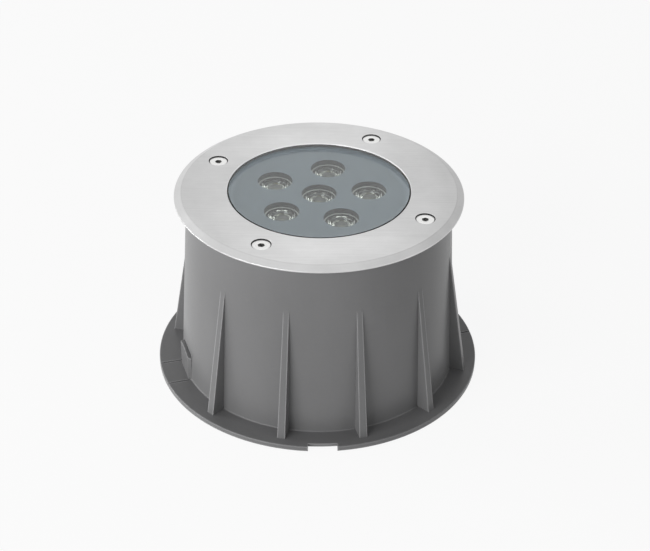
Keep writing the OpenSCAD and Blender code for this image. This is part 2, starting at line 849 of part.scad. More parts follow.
module thermal_pad() {
  color([0.35, 0.5, 0.6]) difference() {
    rod(board_r, carrier_top_z, pad_top_z);
    at_board_screws() rod(board_screw_hole_r, carrier_top_z - overcut, pad_top_z + overcut);
    at_turn(gap_az(0), lead_place_r) rod(lead_hole_r, carrier_top_z - overcut, pad_top_z + overcut);
  }
}

module carrier_plate() {
  color([0.8, 0.81, 0.82]) difference() {
    rod(carrier_r, carrier_foot_z, carrier_top_z);
    for (i = [0:carrier_screw_n - 1]) at_turn(carrier_screw_az(i), carrier_circle_r)
      rod(carrier_screw_r + fit_gap / 2, carrier_foot_z - overcut, carrier_top_z + overcut);
    at_board_screws()
      rod(board_screw_thread_r, board_top_z - board_screw_len - hair_gap, carrier_top_z + overcut);
    at_turn(gap_az(0), lead_place_r) rod(grommet_neck_r, carrier_foot_z - overcut, carrier_top_z + overcut);
  }
}

// Pan head screw with a cross recess, its head seated at a height
module pan_screw(seat_z, thread_r, len, head_r, head_h) {
  slot_w = head_r * pan_slot_share;
  slot_l = 2 * head_r * pan_slot_reach;
  difference() {
    rotate_extrude() polygon([
      [0, seat_z - len],
      [thread_r - edge_break, seat_z - len],
      [thread_r, seat_z - len + edge_break],
      [thread_r, seat_z],
      [head_r, seat_z],
      [head_r, seat_z + head_h / 2],
      [head_r * pan_crown_share, seat_z + head_h],
      [0, seat_z + head_h]
    ]);
    for (a = [0, 90]) rotate([0, 0, a])
      translate([-slot_l / 2, -slot_w / 2, seat_z + head_h / 2]) cube([slot_l, slot_w, head_h]);
  }
}

module carrier_screws() {
  color([0.7, 0.7, 0.72]) for (i = [0:carrier_screw_n - 1]) at_turn(carrier_screw_az(i), carrier_circle_r)
    pan_screw(carrier_top_z, carrier_screw_r, carrier_screw_len, carrier_head_r, carrier_head_h);
}

module board_screws() {
  color([0.7, 0.7, 0.72]) at_board_screws()
    pan_screw(board_top_z, board_screw_thread_r, board_screw_len, board_head_r, board_head_h);
}

module lead_grommet() {
  low = carrier_foot_z - grommet_flange_t;
  high = carrier_top_z + grommet_flange_t;
  color([0.1, 0.1, 0.1]) at_turn(gap_az(0), lead_place_r) rotate_extrude() polygon([
    [grommet_bore_r, low],
    [grommet_flange_r, low],
    [grommet_flange_r, carrier_foot_z],
    [grommet_neck_r, carrier_foot_z],
    [grommet_neck_r, carrier_top_z],
    [grommet_flange_r, carrier_top_z],
    [grommet_flange_r, high],
    [grommet_bore_r, high]
  ]);
}

// One lead: up from the potting, through the grommet and over to its solder joint
module led_lead() {
  bend_z = board_top_z + lead_rise;
  rod(lead_r, potting_top_z, bend_z);
  translate([0, -lead_bend_r, bend_z]) rotate([90, 0, 90]) rotate_extrude(angle = 90)
    translate([lead_bend_r, 0]) circle(r = lead_r);
  translate([0, -lead_bend_r, bend_z + lead_bend_r]) rotate([90, 0, 0]) cylinder(r = lead_r, h = lead_run);
  translate([0, -lead_bend_r - lead_run, 0]) {
    rod(lead_r, board_top_z, bend_z + lead_bend_r + lead_r);
    intersection() {
      translate([0, 0, board_top_z]) sphere(r = solder_r);
      rod(2 * solder_r, board_top_z, board_top_z + 2 * solder_r);
    }
  }
}

module led_leads() {
  color([0.6, 0.1, 0.1]) at_turn(gap_az(0), lead_place_r) for (side = [-1, 1])
    translate([side * lead_spread, 0, 0]) led_lead();
}

module driver_case() {
  color([0.9, 0.9, 0.88]) translate([0, -driver_offset, 0]) difference() {
    union() {
      translate([-driver_l / 2, -driver_w / 2, chamber_floor_z]) cube([driver_l, driver_w, driver_h]);
      translate([-driver_l / 2 - driver_ear, -ear_w / 2, post_z])
        cube([driver_l + 2 * driver_ear, ear_w, ear_t]);
    }
    translate([-driver_l / 2 + driver_wall, -driver_w / 2 + driver_wall, chamber_floor_z + driver_wall])
      cube([driver_l - 2 * driver_wall, driver_w - 2 * driver_wall, driver_h]);
    for (side = [-1, 1]) translate([side * ear_screw_x, 0, 0])
      rod(driver_screw_r + fit_gap / 2, post_z - overcut, post_z + ear_t + overcut);
  }
}

module driver_potting() {
  inner_l = driver_l - 2 * driver_wall;
  inner_w = driver_w - 2 * driver_wall;
  foot_z = chamber_floor_z + driver_wall;
  color([0.12, 0.12, 0.13]) translate([-inner_l / 2, -driver_offset - inner_w / 2, foot_z])
    cube([inner_l, inner_w, potting_top_z - foot_z]);
}

module driver_screws() {
  color([0.7, 0.7, 0.72]) for (side = [-1, 1]) translate([side * ear_screw_x, -driver_offset, 0])
    pan_screw(post_z + ear_t, driver_screw_r, driver_screw_len, driver_head_r, driver_head_h);
}

function pole_x(i) = (i - (terminal_poles - 1) / 2) * terminal_pitch;

// One input lead: out of the potting, over the case's wall and down into its clamp
module input_lead() {
  over_z = chamber_floor_z + driver_h + input_rise;
  down_y = input_lead_y + 2 * input_arc_r;
  translate([0, input_lead_y, 0]) rod(input_lead_r, potting_top_z, over_z);
  translate([0, input_lead_y + input_arc_r, over_z]) rotate([90, 0, 90]) rotate_extrude(angle = 180)
    translate([input_arc_r, 0]) circle(r = input_lead_r);
  translate([0, down_y, 0]) rod(input_lead_r, terminal_hole_z + input_elbow_r, over_z);
  translate([0, down_y + input_elbow_r, terminal_hole_z + input_elbow_r])
    rotate([90, 0, 90]) rotate([0, 0, 180]) rotate_extrude(angle = 90)
      translate([input_elbow_r, 0]) circle(r = input_lead_r);
  translate([0, down_y + input_elbow_r, terminal_hole_z]) rotate([-90, 0, 0])
    cylinder(r = input_lead_r, h = terminal_y + terminal_screw_r + input_lead_past - down_y - input_elbow_r);
}

module input_leads() {
  color([0.3, 0.3, 0.55]) for (i = [0:terminal_poles - 1]) translate([pole_x(i), 0, 0]) input_lead();
}

module terminal_block() {
  top_z = chamber_floor_z + terminal_h;
  color([0.9, 0.9, 0.86]) difference() {
    translate([-terminal_l / 2, terminal_y - terminal_w / 2, chamber_floor_z])
      cube([terminal_l, terminal_w, terminal_h]);
    for (i = [0:terminal_poles - 1]) translate([pole_x(i), terminal_y, 0]) {
      translate([0, terminal_w / 2 + overcut, terminal_hole_z]) rotate([90, 0, 0])
        cylinder(r = terminal_hole_r, h = terminal_w + 2 * overcut);
      rod(terminal_screw_r, terminal_hole_z, top_z + overcut);
    }
    for (i = [0:terminal_poles - 2]) translate([(pole_x(i) + pole_x(i + 1)) / 2, terminal_y, top_z])
      cube([terminal_wall, terminal_w + 2 * overcut, terminal_rib_depth], center = true);
  }
}

module terminal_screw() {
  top_z = chamber_floor_z + terminal_h - terminal_screw_drop;
  slot_l = 2 * (terminal_screw_r + overcut);
  difference() {
    rod(terminal_screw_r, terminal_hole_z + input_lead_r, top_z);
    translate([-slot_l / 2, -terminal_slot_w / 2, top_z - terminal_slot_w])
      cube([slot_l, terminal_slot_w, overcut]);
  }
}

module terminal_screws() {
  color([0.72, 0.66, 0.4]) for (i = [0:terminal_poles - 1])
    translate([pole_x(i), terminal_y, 0]) terminal_screw();
}

module at_gland() {
  translate([entry_x, entry_y, 0]) children();
}

module at_plug() {
  translate([-entry_x, entry_y, 0]) children();
}

module gland_body() {
  color([0.2, 0.2, 0.21]) at_gland() difference() {
    union() {
      chamfered_hexagon(gland_flats, gland_hex_foot_z, gland_hex_top_z);
      rod(entry_r, gland_hex_top_z - overcut, gland_thread_top_z);
      rod(gland_collet_r, gland_collet_foot_z, gland_hex_foot_z + overcut);
    }
    rod(gland_bore_r, gland_collet_foot_z - overcut, bush_foot_z + bush_l);
    rod(throat_r, bush_foot_z, gland_thread_top_z + overcut);
  }
}

module entry_seal() {
  tube(entry_r + seal_w + hair_gap, entry_r + hair_gap, gland_hex_top_z, housing_foot_z);
}

module gland_o_ring() {
  color([0.08, 0.08, 0.08]) at_gland() entry_seal();
}

module gland_locknut() {
  color([0.2, 0.2, 0.21]) at_gland() difference() {
    chamfered_hexagon(gland_flats, chamber_floor_z, chamber_floor_z + locknut_h);
    rod(entry_r, chamber_floor_z - overcut, chamber_floor_z + locknut_h + overcut);
  }
}

module gland_bush() {
  color([0.1, 0.1, 0.1]) at_gland() tube(bush_r, cable_r, bush_foot_z, bush_foot_z + bush_l);
}

module gland_nut() {
  color([0.2, 0.2, 0.21]) at_gland() difference() {
    union() {
      chamfered_hexagon(gland_flats, nut_top_z - nut_hex_h, nut_top_z);
      rotate_extrude() polygon(concat(
        [[0, nut_foot_z]],
        arc(nut_nose_r - nut_round, nut_foot_z + nut_round, nut_round, 270, 360, 4),
        [[nut_nose_r, nut_top_z - nut_hex_h + overcut], [0, nut_top_z - nut_hex_h + overcut]]
      ));
    }
    rod(nut_bore_r, nut_floor_z, nut_top_z + overcut);
    rod(nut_mouth_r, nut_foot_z - overcut, nut_top_z);
  }
}

module blanking_plug() {
  head_foot_z = gland_hex_top_z - plug_head_h;
  color([0.2, 0.2, 0.21]) at_plug() difference() {
    rotate_extrude() polygon([
      [0, head_foot_z],
      [plug_head_r - plug_edge, head_foot_z],
      [plug_head_r, head_foot_z + plug_edge],
      [plug_head_r, gland_hex_top_z],
      [entry_r, gland_hex_top_z],
      [entry_r, chamber_floor_z + thread_stub],
      [0, chamber_floor_z + thread_stub]
    ]);
    hexagon(plug_key, head_foot_z - overcut, head_foot_z + plug_key_depth);
  }
}

module plug_o_ring() {
  color([0.08, 0.08, 0.08]) at_plug() entry_seal();
}

sleeve();
housing();
cover_ring();
glass();
glass_gasket();
mask_plate();
lens(1);  // lens_1
lens(2);  // lens_2
lens(3);  // lens_3
lens(4);  // lens_4
lens(5);  // lens_5
lens(6);  // lens_6
lens_holder(1);  // lens_holder_1
lens_holder(2);  // lens_holder_2
lens_holder(3);  // lens_holder_3
lens_holder(4);  // lens_holder_4
lens_holder(5);  // lens_holder_5
lens_holder(6);  // lens_holder_6
led(1);  // led_1
led(2);  // led_2
led(3);  // led_3
led(4);  // led_4
led(5);  // led_5
led(6);  // led_6
led_board();
thermal_pad();
carrier_plate();
carrier_screws();
board_screws();
lead_grommet();
led_leads();
driver_case();
driver_potting();
driver_screws();
input_leads();
terminal_block();
terminal_screws();
gland_body();
gland_o_ring();
gland_locknut();
gland_bush();
gland_nut();
blanking_plug();
plug_o_ring();
ring_screw(1);  // ring_screw_1
ring_screw(2);  // ring_screw_2
ring_screw(3);  // ring_screw_3
ring_screw(4);  // ring_screw_4
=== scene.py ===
import math

import bpy
from mathutils import Matrix, Vector


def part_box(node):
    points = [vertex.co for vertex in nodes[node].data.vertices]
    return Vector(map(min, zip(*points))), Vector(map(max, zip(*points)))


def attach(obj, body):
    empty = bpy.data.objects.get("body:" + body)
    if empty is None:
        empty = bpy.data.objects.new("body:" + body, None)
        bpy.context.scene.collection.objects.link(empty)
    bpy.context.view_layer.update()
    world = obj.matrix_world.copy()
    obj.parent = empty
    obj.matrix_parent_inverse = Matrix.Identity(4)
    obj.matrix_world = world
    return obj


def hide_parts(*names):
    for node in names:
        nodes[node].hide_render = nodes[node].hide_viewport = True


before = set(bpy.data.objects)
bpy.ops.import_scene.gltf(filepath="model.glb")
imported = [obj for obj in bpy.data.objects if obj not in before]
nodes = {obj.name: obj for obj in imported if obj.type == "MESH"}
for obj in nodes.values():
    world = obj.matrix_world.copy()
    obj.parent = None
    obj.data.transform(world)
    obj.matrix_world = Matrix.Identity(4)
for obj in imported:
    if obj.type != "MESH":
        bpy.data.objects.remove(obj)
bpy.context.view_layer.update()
MM = 0.001


# Places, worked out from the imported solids

def middle(node):
    """Centre of a solid's box."""
    low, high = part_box(node)
    return (low + high) / 2


def half_width(node):
    """Half the width of a solid's box along X."""
    low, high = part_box(node)
    return (high.x - low.x) / 2


def foot_of(node):
    """Height of a solid's lowest point."""
    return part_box(node)[0].z


def top_of(node):
    """Height of a solid's highest point."""
    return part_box(node)[1].z


LENS_COUNT = 6
SCREW_COUNT = 4
LENSES = ["lens_%d" % (i + 1) for i in range(LENS_COUNT)]
HOLDERS = ["lens_holder_%d" % (i + 1) for i in range(LENS_COUNT)]
LEDS = ["led_%d" % (i + 1) for i in range(LENS_COUNT)]
RING_SCREWS = ["ring_screw_%d" % (i + 1) for i in range(SCREW_COUNT)]
RING_TOP = top_of("cover_ring")
RING_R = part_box("cover_ring")[1].x
HOLDER_TOP = top_of(HOLDERS[0])

# Sizes of the cover, the mask and the holders that their boxes don't tell
BEVEL_W = 4.4 * MM
RING_BORE_R = 57 * MM
# Radii between which the ring's face is painted darker, a painted shade of its reflection
RING_SHADE_FROM = 68 * MM
RING_SHADE_TO = 84 * MM
SINK_R = 6.2 * MM
SINK_SOFT = 0.12 * MM
# Reach and depths of the painted shade in the screws' sockets
SOCKET_REACH = 2.4 * MM
SOCKET_MOUTH_DEPTH = 0.8 * MM
SOCKET_SHADE_DEPTH = 1.3 * MM
# Radius and width of the band where the mask is painted lighter against the ring's shade
MASK_LIGHT_R = 51 * MM
MASK_LIGHT_W = 7 * MM
# Height of the band of painted highlight on the holders' rims
HOLDER_HIGHLIGHT_H = 0.25 * MM


# Camera, fitted to the photograph, whose frame is 650 pixels wide and 551 high

PHOTO_W = 650
FOCUS_PX = 1686.7
SENSOR_W = 36.0
CAMERA_REACH = 1047.5 * MM
CAMERA_RISE = 0.53672
CAMERA_PAN = 0.0040
CAMERA_TILT = -0.0514
CAMERA_ROLL = 0.01017
CAMERA_NEAR = 0.05
CAMERA_FAR = 50


def place_camera():
    """The camera of the photograph: it looks down at the middle of the ring's top, a little off centre."""
    data = bpy.data.cameras.new("photo_camera")
    data.sensor_fit = "HORIZONTAL"
    data.sensor_width = SENSOR_W
    data.lens = FOCUS_PX * SENSOR_W / PHOTO_W
    data.clip_start = CAMERA_NEAR
    data.clip_end = CAMERA_FAR
    camera = bpy.data.objects.new("photo_camera", data)
    bpy.context.scene.collection.objects.link(camera)
    aim = Vector((0, 0, RING_TOP))
    away = Vector((0, -math.cos(CAMERA_RISE), math.sin(CAMERA_RISE)))
    turn = Matrix.Rotation(math.pi / 2 - CAMERA_RISE, 4, "X")
    turn = turn @ Matrix.Rotation(-CAMERA_PAN, 4, "Y")
    turn = turn @ Matrix.Rotation(CAMERA_TILT, 4, "X")
    turn = turn @ Matrix.Rotation(CAMERA_ROLL, 4, "Z")
    camera.matrix_world = Matrix.Translation(aim + away * CAMERA_REACH) @ turn
    bpy.context.scene.camera = camera


# Shader maths

class Signal:
    """A socket that carries a number through a node tree, with its maths written as an expression."""

    def __init__(self, graph, socket):
        self.graph = graph
        self.socket = socket

    def maths(self, operation, *values):
        return self.graph.node("ShaderNodeMath", {"operation": operation}, dict(enumerate(values)))

    def __add__(self, other):
        return self.maths("ADD", self, other)

    def __radd__(self, other):
        return self.maths("ADD", other, self)

    def __sub__(self, other):
        return self.maths("SUBTRACT", self, other)

    def __rsub__(self, other):
        return self.maths("SUBTRACT", other, self)

    def __mul__(self, other):
        return self.maths("MULTIPLY", self, other)

    def __truediv__(self, other):
        return self.maths("DIVIDE", self, other)

    def __pow__(self, other):
        return self.maths("POWER", self, other)

    def size(self):
        return self.maths("ABSOLUTE", self)

    def higher(self, other):
        return self.maths("MAXIMUM", self, other)

    def lower(self, other):
        return self.maths("MINIMUM", self, other)

    def ramp(self, start, end):
        """Goes smoothly from 0 to 1 while the signal goes from start to end."""
        values = {"Value": self, "From Min": start, "From Max": end}
        return self.graph.node("ShaderNodeMapRange", {"interpolation_type": "SMOOTHSTEP"}, values, "Result")


WHITE = (1, 1, 1, 1)


class Graph:
    """A node tree in the making."""

    def __init__(self, tree):
        self.tree = tree

    def node(self, kind, settings=None, values=None, output=0):
        """Adds a node: its settings first, then the numbers or signals of its sockets."""
        made = self.tree.nodes.new(kind)
        for key, value in (settings or {}).items():
            setattr(made, key, value)
        for key, value in (values or {}).items():
            if isinstance(value, Signal):
                self.tree.links.new(value.socket, made.inputs[key])
            else:
                made.inputs[key].default_value = value
        return Signal(self, made.outputs[output])

    def seen(self, mirrored=1.0):
        """1 for what the camera sees, straight or through glass, and the share given for reflections."""
        camera = self.node("ShaderNodeLightPath", output="Is Camera Ray")
        glossy = self.node("ShaderNodeLightPath", output="Is Glossy Ray")
        through = self.node("ShaderNodeLightPath", output="Is Transmission Ray")
        return camera.higher(glossy * mirrored).higher(through)

    def show(self, share, first, second, output):
        """Leads a mix of two shaders to the tree's output."""
        mixed = self.node("ShaderNodeMixShader", values={0: share, 1: first, 2: second})
        self.tree.links.new(mixed.socket, self.tree.nodes[output].inputs["Surface"])


SOCKETS = {"base_color": "Base Color", "metallic": "Metallic", "roughness": "Roughness", "ior": "IOR",
           "normal": "Normal", "specular": "Specular IOR Level", "transmission": "Transmission Weight"}
OCCLUSION_SAMPLES = 8
BEVEL_SAMPLES = 4


def colour_of(value):
    """What a colour socket takes: a signal as it is, or three numbers with a fourth for opacity."""
    return value if isinstance(value, Signal) else (*value, 1)


class Finish(Graph):
    """A material in the making."""

    def __init__(self, name):
        self.material = bpy.data.materials.new(name)
        self.material.use_nodes = True
        super().__init__(self.material.node_tree)
        self.shader = self.tree.nodes["Principled BSDF"]
        self.coordinates = self.node("ShaderNodeTexCoord", output="Object")

    def place(self, stretch=(1, 1, 1), centre=(0, 0, 0)):
        """Object coordinates, moved to a centre and stretched."""
        values = {0: self.coordinates, 1: centre}
        moved = self.node("ShaderNodeVectorMath", {"operation": "SUBTRACT"}, values)
        return self.node("ShaderNodeMapping", {"vector_type": "POINT"}, {"Vector": moved, "Scale": stretch})

    def noise(self, scale, detail, stretch=(1, 1, 1), roughness=0.5):
        """Noise around zero, from about -1 to 1."""
        values = {"Vector": self.place(stretch), "Scale": scale, "Detail": detail, "Roughness": roughness}
        return (self.node("ShaderNodeTexNoise", values=values, output="Fac") - 0.5) * 2.0

    def lines(self, along):
        """Turning lines: noise around zero, from about -0.5 to 0.5, along one signal."""
        values = {"W": along, "Scale": 1.0, "Detail": 2.0}
        return self.node("ShaderNodeTexNoise", {"noise_dimensions": "1D"}, values, "Fac") - 0.5

    def pebbles(self, scale):
        """Distance to the nearest pebble's middle."""
        values = {"Vector": self.place(), "Scale": scale}
        return self.node("ShaderNodeTexVoronoi", {"feature": "F1"}, values, "Distance")

    def axes(self, place=None):
        """The three coordinates as signals."""
        values = {0: self.coordinates if place is None else place}
        return [self.node("ShaderNodeSeparateXYZ", values=values, output=axis) for axis in "XYZ"]

    def height(self):
        """Height above the ground, as a signal."""
        return self.axes()[2]

    def radius(self, centre=(0, 0, 0)):
        """Distance from an upright axis."""
        x, y, _ = self.axes(self.place(centre=centre))
        return (x * x + y * y) ** 0.5

    def occlusion(self, width, inside):
        """1 where nothing of the solid is near, less where it is: looked for inside or outside it."""
        settings = {"inside": inside, "only_local": True, "samples": OCCLUSION_SAMPLES}
        return self.node("ShaderNodeAmbientOcclusion", settings, {"Distance": width}, "AO")

    def edges(self, width):
        """Near 1 along the outer edges of the solid, and 0 on its faces and in its corners."""
        return self.occlusion(width, True).ramp(0.97, 0.6)

    def creases(self, width):
        """Near 1 in narrow grooves and inner corners, where shade falls: it paints shade there."""
        return self.occlusion(width, False).ramp(0.62, 0.25)

    def upward(self):
        """1 on faces that look straight up, 0 on upright walls."""
        return self.axes(self.node("ShaderNodeNewGeometry", output="Normal"))[2]

    def tint(self, share, first, second):
        """A colour between two others."""
        settings = {"data_type": "RGBA", "clamp_factor": True}
        values = {0: share, 6: colour_of(first), 7: colour_of(second)}
        return self.node("ShaderNodeMix", settings, values, 2)

    def shade(self, colour, brightness):
        """A colour made lighter or darker by a signal around 1."""
        grey = self.node("ShaderNodeCombineXYZ", values={0: brightness, 1: brightness, 2: brightness})
        return self.node("ShaderNodeVectorMath", {"operation": "MULTIPLY"}, {0: colour, 1: grey})

    def bump(self, height, distance, strength=1.0, below=None):
        """Relief of a given height, laid over another normal where one is given."""
        values = {"Strength": strength, "Distance": distance, "Height": height}
        if below is not None:
            values["Normal"] = below
        return self.node("ShaderNodeBump", values=values, output="Normal")

    def rounded(self, width):
        """Normals that round off the sharp edges of a solid."""
        return self.node("ShaderNodeBevel", {"samples": BEVEL_SAMPLES}, {"Radius": width}, "Normal")

    def surface(self, **values):
        """Sets the shader's own sockets, with signals or plain values."""
        for key, value in values.items():
            socket = self.shader.inputs[SOCKETS[key]]
            if isinstance(value, Signal):
                self.tree.links.new(value.socket, socket)
            else:
                socket.default_value = (*value, 1) if isinstance(value, tuple) else value
        return self.material


# Colours

SLEEVE_GREY = (0.165, 0.165, 0.167)
STAINLESS = (0.65, 0.65, 0.65)
SINK_SHADE = (0.03, 0.03, 0.03)
GLASS_TINT = (0.93, 0.97, 0.96)
MASK_PAINT = (0.200, 0.236, 0.278)
# Painted shade on the walls of the mask's openings
MASK_WALL_SHADE = (0.012, 0.013, 0.015)
RUBBER_BLACK = (0.018, 0.018, 0.018)
SCREW_STEEL = (0.93, 0.93, 0.92)
CAST_ALUMINIUM = (0.47, 0.475, 0.48)
MILLED_ALUMINIUM = (0.76, 0.77, 0.78)
ZINC_PLATE = (0.66, 0.67, 0.68)
BRASS = (0.70, 0.52, 0.24)
NYLON_BLACK = (0.022, 0.022, 0.023)
CASE_WHITE = (0.66, 0.66, 0.63)
POTTING_BLACK = (0.03, 0.03, 0.032)
PAD_BLUE = (0.22, 0.34, 0.44)
LEAD_RED = (0.35, 0.03, 0.02)
LENS_TINT = (0.95, 0.96, 0.88)
HOLDER_BLACK = (0.014, 0.014, 0.016)
# Painted highlight on the holders' rims
HOLDER_RIM_HIGHLIGHT = (0.62, 0.62, 0.60)
CERAMIC_WHITE = (0.82, 0.82, 0.79)
PHOSPHOR_YELLOW = (0.86, 0.72, 0.18)
SILICONE_TINT = (0.98, 0.98, 0.94)
BOARD_WHITE = (0.80, 0.80, 0.78)
FLOOR_WHITE = (0.92, 0.92, 0.92)


# Finishes of the cover and the sleeve

def moulded_sleeve():
    """Grey moulded plastic with flow marks, a fine grain, edges lighter (partly rubbed, partly painted
    highlight) and painted shade in its creases.
    """
    f = Finish("moulded_sleeve")
    broad = f.noise(16, 3)
    flow = f.noise(5, 3, stretch=(7, 7, 1))
    grain = f.noise(1500, 2)
    speck = f.noise(420, 3)
    rub_and_highlight = f.edges(0.9 * MM)
    crease_shade = f.creases(1.6 * MM)
    # Edges painted lighter, partly rubbing and partly painted highlight; creases darkened as painted shade.
    brightness = (1.02 + broad * 0.10 + flow * 0.08 + speck * 0.03 + rub_and_highlight * 0.9) * (1 - crease_shade * 0.7)
    roughness = 0.36 + broad * 0.06 + flow * 0.05 + speck * 0.05 - rub_and_highlight * 0.06 + crease_shade * 0.2
    relief = f.bump(grain + speck * 0.7, 0.03 * MM, 0.5, f.rounded(0.5 * MM))
    return f.surface(base_color=f.shade(SLEEVE_GREY, brightness), roughness=roughness,
                     normal=relief, ior=1.5, specular=0.35)


def countersinks(f):
    """1 inside the countersinks of the ring's screws."""
    nearest = f.radius(tuple(middle(RING_SCREWS[0])))
    for name in RING_SCREWS[1:]:
        nearest = nearest.lower(f.radius(tuple(middle(name))))
    return nearest.ramp(SINK_R, SINK_R - SINK_SOFT)


def brushed_ring():
    """Stainless plate: straight brushing on the face, turned lines round the bevel, painted reflection and
    highlights, and painted shade in the countersinks.
    """
    f = Finish("brushed_ring")
    x, y, z = f.axes()
    radius = (x * x + y * y) ** 0.5
    seam_r = RING_R - BEVEL_W
    on_bevel = radius.ramp(seam_r - 0.1 * MM, seam_r + 0.1 * MM)
    on_face = 1 - on_bevel
    fine = f.noise(1, 4, stretch=(60, 4200, 4200))
    coarse = f.noise(1, 3, stretch=(14, 900, 900))
    brush = (fine * 0.6 + coarse * 0.5) * on_face + f.lines(radius * 9000 + z * 9000) * on_bevel
    smear = f.noise(34, 5, roughness=0.65)
    cloud = f.noise(11, 3)
    rub_and_highlight = f.edges(0.5 * MM)
    bore_glint = radius.ramp(RING_BORE_R + 0.7 * MM, RING_BORE_R + 0.4 * MM)
    bevel_shade_line = (radius - seam_r).size().ramp(0.5 * MM, 0.15 * MM)
    outer = radius.ramp(RING_SHADE_FROM, RING_SHADE_TO)
    # Painted reflection: the face lighter towards front and back and a little to the left, the bevel darker
    # towards the right, and the face darker towards its rim.
    face_sheen = y * y / (x * x + y * y) * 0.22 - x / radius * 0.03
    bevel_sheen = (x + y * 0.15) / radius * 0.126
    marks = brush * 0.18 + smear * 0.14 + cloud * 0.08
    # Painted highlights on the edges (partly rubbing too) and on the bore's chamfer, less a painted dark
    # line where the bevel starts.
    edge_glints_and_line = (rub_and_highlight + bore_glint) * 0.22 - bevel_shade_line * 0.08
    sheen = face_sheen * on_face - bevel_sheen * on_bevel - outer * 0.06
    # The countersinks are painted with shade.
    colour = f.tint(countersinks(f), f.shade(STAINLESS, 1 + marks + edge_glints_and_line + sheen), SINK_SHADE)
    roughness = 0.38 + brush * 0.12 + smear * 0.06 - rub_and_highlight * 0.12
    relief = f.bump(brush, 0.006 * MM, 1.0, f.rounded(0.25 * MM))
    return f.surface(base_color=colour, metallic=1.0, roughness=roughness, normal=relief)


def clear_glass():
    """Toughened glass with the faintest green and a trace of dust."""
    f = Finish("clear_glass")
    dust = f.noise(90, 4).ramp(0.2, 0.9)
    return f.surface(base_color=GLASS_TINT, roughness=dust * 0.01, ior=1.5, transmission=1.0)


def painted_mask():
    """Blue-grey satin paint on the plate's face, painted lighter at its border against the ring's shade,
    and painted shade on the walls of its openings.
    """
    f = Finish("painted_mask")
    broad = f.noise(22, 3)
    grain = f.noise(1600, 2)
    # The walls of the openings take painted shade; the border takes painted light where the ring shades the
    # plate.
    face = f.upward().ramp(0.3, 0.8)
    border_light = f.radius().ramp(MASK_LIGHT_R, MASK_LIGHT_R + MASK_LIGHT_W)
    brightness = 1 + broad * 0.05 + grain * 0.03 + border_light * 1.1
    colour = f.tint(face, MASK_WALL_SHADE, f.shade(MASK_PAINT, brightness))
    return f.surface(base_color=colour, roughness=0.5 + grain * 0.05, normal=f.bump(grain, 0.01 * MM, 0.5))


def black_rubber():
    """Matt rubber with a faint bloom."""
    f = Finish("black_rubber")
    bloom = f.noise(130, 4)
    grain = f.noise(2200, 2)
    return f.surface(base_color=f.shade(RUBBER_BLACK, 1 + bloom * 0.3), roughness=0.62 + bloom * 0.08,
                     normal=f.bump(grain, 0.01 * MM, 0.6))


def turned_steel(centre, name):
    """A screw's head: turned rings round its own axis and painted shade in its socket."""
    f = Finish(name)
    radius = f.radius(centre)
    # The socket is darkened below its mouth as painted shade.
    deep = f.height().ramp(RING_TOP - SOCKET_MOUTH_DEPTH, RING_TOP - SOCKET_SHADE_DEPTH)
    socket = radius.ramp(SOCKET_REACH + 0.05 * MM, SOCKET_REACH - 0.05 * MM) * deep
    rings = f.lines(radius * 7000)
    smear = f.noise(160, 3)
    brightness = (1 + rings * 0.10 + smear * 0.05) * (1 - socket * 0.6)
    return f.surface(base_color=f.shade(SCREW_STEEL, brightness), metallic=1.0,
                     roughness=0.28 + rings * 0.1 + smear * 0.05, normal=f.bump(rings, 0.01 * MM, 0.8))


# Finishes of the pieces inside

def cast_housing():
    """Die-cast aluminium: a fine pebbled skin with soft stains."""
    f = Finish("cast_housing")
    broad = f.noise(24, 4)
    grain = f.noise(700, 3)
    rub_and_highlight = f.edges(0.6 * MM)
    # Edges painted lighter, partly rubbing and partly painted highlight.
    brightness = 1 + broad * 0.1 + grain * 0.05 + rub_and_highlight * 0.2
    relief = f.bump(f.pebbles(900) * 0.6 + grain * 0.4, 0.05 * MM, 0.6, f.rounded(0.4 * MM))
    return f.surface(base_color=f.shade(CAST_ALUMINIUM, brightness), metallic=0.85,
                     roughness=0.52 + broad * 0.08 - rub_and_highlight * 0.12, normal=relief)


def plain_metal(name, colour, roughness):
    """Small metal pieces inside: faint milling lines."""
    f = Finish(name)
    milling = f.noise(1, 3, stretch=(90, 3000, 3000))
    smear = f.noise(60, 3)
    return f.surface(base_color=f.shade(colour, 1 + milling * 0.05 + smear * 0.05), metallic=1.0,
                     roughness=roughness + milling * 0.06 + smear * 0.04,
                     normal=f.bump(milling, 0.005 * MM, 0.7))


def moulded_small(name, colour, roughness=0.45):
    """Small moulded pieces: a soft sheen, a fine grain and edges lighter, partly rubbed and partly painted
    highlight.
    """
    f = Finish(name)
    broad = f.noise(60, 3)
    grain = f.noise(1900, 2)
    rub_and_highlight = f.edges(0.4 * MM)
    # Edges painted lighter, partly rubbing and partly painted highlight.
    return f.surface(base_color=f.shade(colour, 1 + broad * 0.07 + rub_and_highlight * 0.15),
                     roughness=roughness + broad * 0.06,
                     normal=f.bump(grain, 0.012 * MM, 0.5, f.rounded(0.3 * MM)))


def lens_plastic():
    """Clear moulded polycarbonate."""
    f = Finish("lens_plastic")
    haze = f.noise(240, 3).ramp(-0.2, 1.0)
    return f.surface(base_color=LENS_TINT, roughness=haze * 0.02, ior=1.585, transmission=1.0)


def holder_finish():
    """Dark lens holder with a painted highlight along its rim round the lens."""
    f = Finish("lens_holder_plastic")
    broad = f.noise(60, 3)
    grain = f.noise(1900, 2)
    # A painted highlight along the top of the rim, where light catches it.
    rim_highlight = f.height().ramp(HOLDER_TOP - HOLDER_HIGHLIGHT_H, HOLDER_TOP - HOLDER_HIGHLIGHT_H / 5)
    colour = f.shade(f.tint(rim_highlight, HOLDER_BLACK, HOLDER_RIM_HIGHLIGHT), 1 + broad * 0.07)
    return f.surface(base_color=colour, roughness=0.35 + broad * 0.06,
                     normal=f.bump(grain, 0.012 * MM, 0.5))


